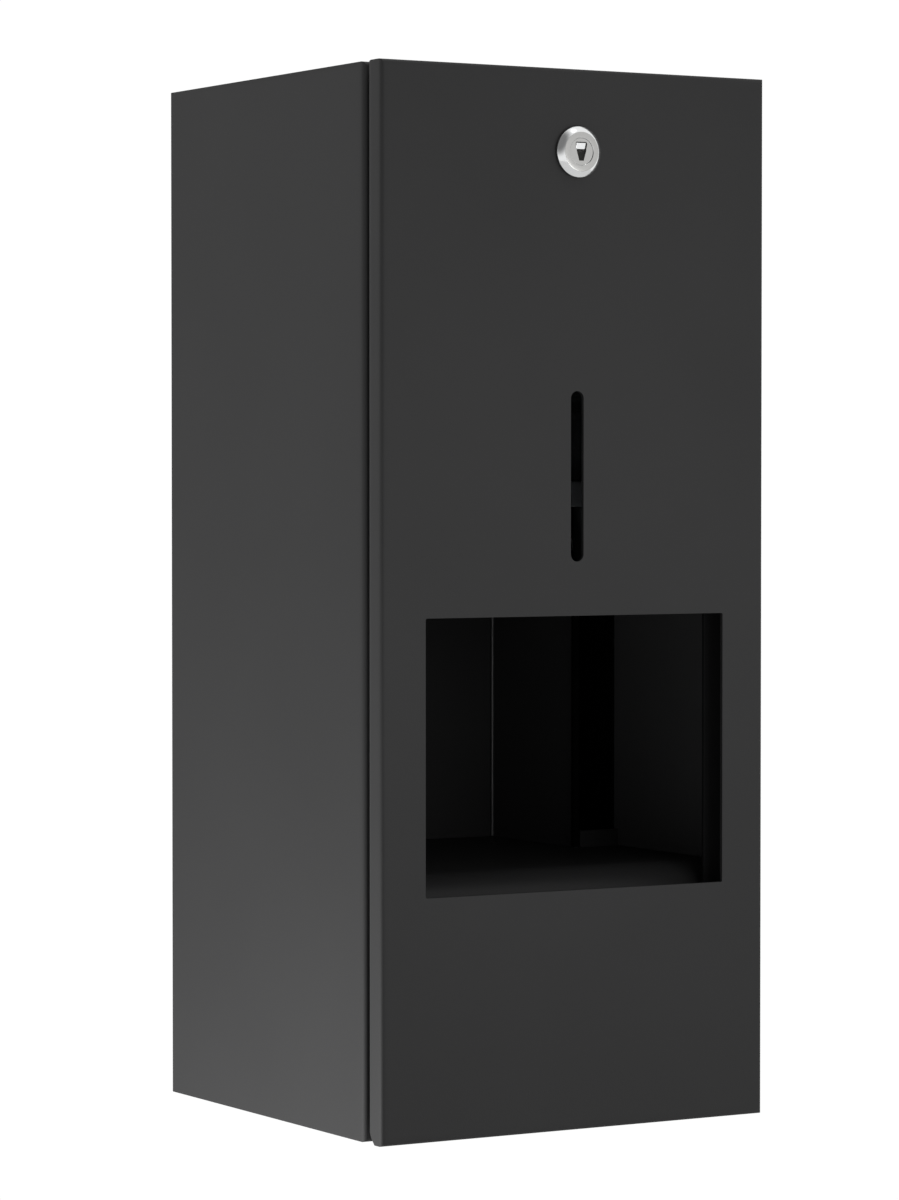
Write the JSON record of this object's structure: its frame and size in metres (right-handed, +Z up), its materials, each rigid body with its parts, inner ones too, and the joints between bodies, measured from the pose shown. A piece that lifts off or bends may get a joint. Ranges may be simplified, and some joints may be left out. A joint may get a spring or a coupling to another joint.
{
  "type": "wall mounted soap dispenser",
  "caption": "Tall black steel wall box with a hinged front door, hand recess, level slot and cam lock; a touch-free pump doses soap from a lift-off tank into the recess.",
  "frame": {"origin": "middle of the housing's back face, on the wall plane", "axes": "+X to the right of someone facing the door, +Y into the wall (the door faces -Y), +Z up"},
  "size_m": [0.14, 0.1425, 0.33],
  "materials": {
    "black_paint": "matte fine-textured powder coat",
    "inner_paint": "matte powder coat",
    "chrome": "polished",
    "satin_steel": "satin nickel",
    "steel": "zinc plated",
    "brass": "machined",
    "black_plastic": "fine moulded texture",
    "grey_plastic": "fine moulded texture",
    "smoked_plastic": "smoked, semi-gloss",
    "white_plastic": "acetal, satin",
    "rubber": "matte",
    "silicone": "translucent satin",
    "sensor_lens": "dark infrared filter, gloss",
    "circuit_board": "solder mask",
    "cell_wrap": "printed film without lettering"
  },
  "bodies": {
    "housing": {"housing_shell": "black_paint", "back_panel": "inner_paint", "chassis_bracket": "inner_paint", "chassis_nut_1": "steel", "chassis_nut_2": "steel", "chassis_nut_3": "steel", "chassis_nut_4": "steel", "drip_tray": "inner_paint", "pump_shelf": "inner_paint", "hinge_bracket_left": "inner_paint", "hinge_bracket_right": "inner_paint", "tank_seat": "grey_plastic", "feed_socket": "grey_plastic", "socket_seal": "rubber", "pump_housing": "white_plastic", "pump_cover": "black_plastic", "motor": "steel", "pump_tube": "silicone", "nozzle": "black_plastic", "nozzle_nut": "black_plastic", "sensor_window": "sensor_lens", "sensor_emitter": "sensor_lens", "sensor_receiver": "sensor_lens", "sensor_board": "circuit_board", "control_board": "circuit_board", "battery_box": "black_plastic", "contact_spring_1": "steel", "contact_spring_2": "steel", "contact_spring_3": "steel", "contact_spring_4": "steel", "battery_1": "cell_wrap", "battery_2": "cell_wrap", "battery_3": "cell_wrap", "battery_4": "cell_wrap", "switch_body": "black_plastic", "battery_cable": "rubber", "grommet_lower": "rubber", "grommet_upper": "rubber"},
    "door": {"door_panel": "black_paint", "hinge_block_left": "steel", "hinge_block_right": "steel", "hinge_pin_left": "steel", "hinge_pin_right": "steel", "lock_barrel": "chrome", "lock_nut": "steel"},
    "lock": {"lock_plug": "satin_steel", "lock_cam": "steel", "cam_screw": "steel"},
    "tank": {"tank": "smoked_plastic"},
    "cap": {"tank_cap": "black_plastic"},
    "rotor": {"pump_rotor": "white_plastic", "drive_gear": "white_plastic", "rotor_shaft": "steel"},
    "roller_1": {"roller_1": "black_plastic"},
    "roller_2": {"roller_2": "black_plastic"},
    "roller_3": {"roller_3": "black_plastic"},
    "pinion": {"motor_shaft": "steel", "motor_pinion": "brass"},
    "battery_cover": {"battery_cover": "black_plastic"},
    "switch_rocker": {"switch_rocker": "grey_plastic"}
  },
  "joints": [
    {"name": "door_hinge", "type": "hinge", "parent": "housing", "child": "door", "pos_m": [0, -0.1352, -0.1604], "axis": [1, 0, 0], "range_deg": [0, 90]},
    {"name": "lock_turn", "type": "hinge", "parent": "door", "child": "lock", "pos_m": [0, -0.13, 0.1393], "axis": [0, -1, 0], "range_deg": [0, 90]},
    {"name": "tank_lift", "type": "slide", "parent": "housing", "child": "tank", "axis": [0, 0, 1], "range_m": [0, 0.01]},
    {"name": "cap_turn", "type": "hinge", "parent": "tank", "child": "cap", "pos_m": [0, -0.062, 0.13], "axis": [0, 0, 1], "range_deg": [0, 90]},
    {"name": "rotor_spin", "type": "hinge", "parent": "housing", "child": "rotor", "pos_m": [0.017, -0.062, 0.01], "axis": [0, 0, 1], "continuous": true},
    {"name": "roller_1_spin", "type": "hinge", "parent": "rotor", "child": "roller_1", "pos_m": [0.017, -0.052, 0.0075], "axis": [0, 0, 1], "continuous": true},
    {"name": "roller_2_spin", "type": "hinge", "parent": "rotor", "child": "roller_2", "pos_m": [0.00834, -0.067, 0.0075], "axis": [0, 0, 1], "continuous": true},
    {"name": "roller_3_spin", "type": "hinge", "parent": "rotor", "child": "roller_3", "pos_m": [0.02566, -0.067, 0.0075], "axis": [0, 0, 1], "continuous": true},
    {"name": "pinion_spin", "type": "hinge", "parent": "housing", "child": "pinion", "pos_m": [-0.02075, -0.062, 0.015], "axis": [0, 0, 1], "continuous": true},
    {"name": "battery_cover_slide", "type": "slide", "parent": "housing", "child": "battery_cover", "axis": [1, 0, 0], "range_m": [0, 0.012]},
    {"name": "switch_rock", "type": "hinge", "parent": "housing", "child": "switch_rocker", "pos_m": [0.0392, -0.0425, -0.133], "axis": [1, 0, 0], "range_deg": [0, 20]}
  ],
  "couplings": [
    {"joint": "roller_1_spin", "follows": "rotor_spin", "ratio": -3.4524},
    {"joint": "roller_2_spin", "follows": "rotor_spin", "ratio": -3.4524},
    {"joint": "roller_3_spin", "follows": "rotor_spin", "ratio": -3.4524},
    {"joint": "pinion_spin", "follows": "rotor_spin", "ratio": -4}
  ]
}
